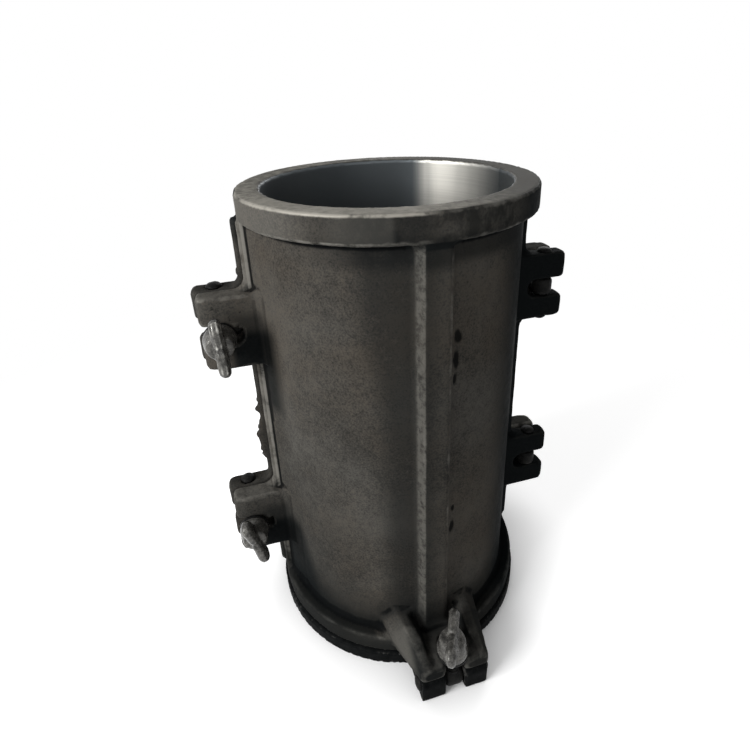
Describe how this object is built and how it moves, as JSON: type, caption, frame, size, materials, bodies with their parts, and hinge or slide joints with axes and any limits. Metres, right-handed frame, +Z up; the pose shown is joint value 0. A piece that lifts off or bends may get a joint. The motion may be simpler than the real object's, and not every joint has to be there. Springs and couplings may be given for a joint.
{
  "type": "concrete cylinder mould",
  "caption": "Split cast-iron mould for casting concrete test cylinders: ribbed half shells with slotted lugs on a base plate, held by swing bolts with wing nuts.",
  "frame": {"origin": "centre of the base plate's underside", "axes": "+Z up along the bore, +Y from the front half shell to the rear one, the seam between them on the XZ plane"},
  "size_m": [0.246, 0.2524, 0.31],
  "materials": {
    "casting": "dark oiled cast iron, rough outside, machined in the bore, on the rim and on the seams",
    "steel": "dull oiled steel",
    "wing_nut": "dark cast nut, worn on its edges"
  },
  "bodies": {
    "base": {"base_plate": "casting", "front_base_pivot_pin": "steel", "rear_base_pivot_pin": "steel"},
    "rear_half": {"rear_half_shell": "casting", "upper_left_pivot_pin": "steel", "lower_left_pivot_pin": "steel"},
    "front_half": {"front_half_shell": "casting", "upper_right_pivot_pin": "steel", "lower_right_pivot_pin": "steel"},
    "upper_left_bolt": {"upper_left_swing_bolt": "steel"},
    "upper_left_washer": {"upper_left_washer": "steel"},
    "upper_left_nut": {"upper_left_wing_nut": "wing_nut"},
    "lower_left_bolt": {"lower_left_swing_bolt": "steel"},
    "lower_left_washer": {"lower_left_washer": "steel"},
    "lower_left_nut": {"lower_left_wing_nut": "wing_nut"},
    "upper_right_bolt": {"upper_right_swing_bolt": "steel"},
    "upper_right_washer": {"upper_right_washer": "steel"},
    "upper_right_nut": {"upper_right_wing_nut": "wing_nut"},
    "lower_right_bolt": {"lower_right_swing_bolt": "steel"},
    "lower_right_washer": {"lower_right_washer": "steel"},
    "lower_right_nut": {"lower_right_wing_nut": "wing_nut"},
    "front_base_bolt": {"front_base_swing_bolt": "steel"},
    "front_base_washer": {"front_base_washer": "steel"},
    "front_base_nut": {"front_base_wing_nut": "wing_nut"},
    "rear_base_bolt": {"rear_base_swing_bolt": "steel"},
    "rear_base_washer": {"rear_base_washer": "steel"},
    "rear_base_nut": {"rear_base_wing_nut": "wing_nut"}
  },
  "joints": [
    {"name": "halves_lift", "type": "slide", "parent": "base", "child": "rear_half", "axis": [0, 0, 1], "range_m": [0, 0.0045]},
    {"name": "halves_part", "type": "slide", "parent": "rear_half", "child": "front_half", "axis": [0, -1, 0], "range_m": [0, 0.00225]},
    {"name": "upper_left_swing", "type": "hinge", "parent": "rear_half", "child": "upper_left_bolt", "pos_m": [-0.109, 0.0065, 0.22845], "axis": [0, 0, -1], "range_deg": [0, 180]},
    {"name": "upper_left_travel", "type": "slide", "parent": "upper_left_bolt", "child": "upper_left_washer", "axis": [0, -1, 0], "range_m": [0, 0.0045]},
    {"name": "upper_left_turn", "type": "hinge", "parent": "upper_left_washer", "child": "upper_left_nut", "pos_m": [-0.109, 0.0065, 0.22845], "axis": [0, -1, 0], "range_deg": [0, 1080]},
    {"name": "lower_left_swing", "type": "hinge", "parent": "rear_half", "child": "lower_left_bolt", "pos_m": [-0.109, 0.0065, 0.07915], "axis": [0, 0, -1], "range_deg": [0, 180]},
    {"name": "lower_left_travel", "type": "slide", "parent": "lower_left_bolt", "child": "lower_left_washer", "axis": [0, -1, 0], "range_m": [0, 0.0045]},
    {"name": "lower_left_turn", "type": "hinge", "parent": "lower_left_washer", "child": "lower_left_nut", "pos_m": [-0.109, 0.0065, 0.07915], "axis": [0, -1, 0], "range_deg": [0, 1080]},
    {"name": "upper_right_swing", "type": "hinge", "parent": "front_half", "child": "upper_right_bolt", "pos_m": [0.109, -0.0065, 0.22845], "axis": [0, 0, -1], "range_deg": [0, 180]},
    {"name": "upper_right_travel", "type": "slide", "parent": "upper_right_bolt", "child": "upper_right_washer", "axis": [0, 1, 0], "range_m": [0, 0.0045]},
    {"name": "upper_right_turn", "type": "hinge", "parent": "upper_right_washer", "child": "upper_right_nut", "pos_m": [0.109, -0.0065, 0.22845], "axis": [0, 1, 0], "range_deg": [0, 1080]},
    {"name": "lower_right_swing", "type": "hinge", "parent": "front_half", "child": "lower_right_bolt", "pos_m": [0.109, -0.0065, 0.07915], "axis": [0, 0, -1], "range_deg": [0, 180]},
    {"name": "lower_right_travel", "type": "slide", "parent": "lower_right_bolt", "child": "lower_right_washer", "axis": [0, 1, 0], "range_m": [0, 0.0045]},
    {"name": "lower_right_turn", "type": "hinge", "parent": "lower_right_washer", "child": "lower_right_nut", "pos_m": [0.109, -0.0065, 0.07915], "axis": [0, 1, 0], "range_deg": [0, 1080]},
    {"name": "front_base_swing", "type": "hinge", "parent": "base", "child": "front_base_bolt", "pos_m": [0.003, -0.109, 0.009], "axis": [1, 0, 0], "range_deg": [0, 75]},
    {"name": "front_base_travel", "type": "slide", "parent": "front_base_bolt", "child": "front_base_washer", "axis": [0, 0, 1], "range_m": [0, 0.0045]},
    {"name": "front_base_turn", "type": "hinge", "parent": "front_base_washer", "child": "front_base_nut", "pos_m": [0.003, -0.109, 0.009], "axis": [0, 0, 1], "range_deg": [0, 1080]},
    {"name": "rear_base_swing", "type": "hinge", "parent": "base", "child": "rear_base_bolt", "pos_m": [-0.003, 0.109, 0.009], "axis": [-1, 0, 0], "range_deg": [0, 75]},
    {"name": "rear_base_travel", "type": "slide", "parent": "rear_base_bolt", "child": "rear_base_washer", "axis": [0, 0, 1], "range_m": [0, 0.0045]},
    {"name": "rear_base_turn", "type": "hinge", "parent": "rear_base_washer", "child": "rear_base_nut", "pos_m": [-0.003, 0.109, 0.009], "axis": [0, 0, 1], "range_deg": [0, 1080]}
  ],
  "couplings": [
    {"joint": "upper_left_turn", "follows": "halves_part", "rad_per_m": 8377.6},
    {"joint": "upper_left_travel", "follows": "halves_part", "ratio": 2},
    {"joint": "lower_left_turn", "follows": "halves_part", "rad_per_m": 8377.6},
    {"joint": "lower_left_travel", "follows": "halves_part", "ratio": 2},
    {"joint": "upper_right_turn", "follows": "halves_part", "rad_per_m": 8377.6},
    {"joint": "upper_right_travel", "follows": "halves_part", "ratio": 2},
    {"joint": "lower_right_turn", "follows": "halves_part", "rad_per_m": 8377.6},
    {"joint": "lower_right_travel", "follows": "halves_part", "ratio": 2},
    {"joint": "front_base_turn", "follows": "halves_lift", "rad_per_m": 4188.8},
    {"joint": "front_base_travel", "follows": "halves_lift", "ratio": 1},
    {"joint": "rear_base_turn", "follows": "halves_lift", "rad_per_m": 4188.8},
    {"joint": "rear_base_travel", "follows": "halves_lift", "ratio": 1}
  ]
}
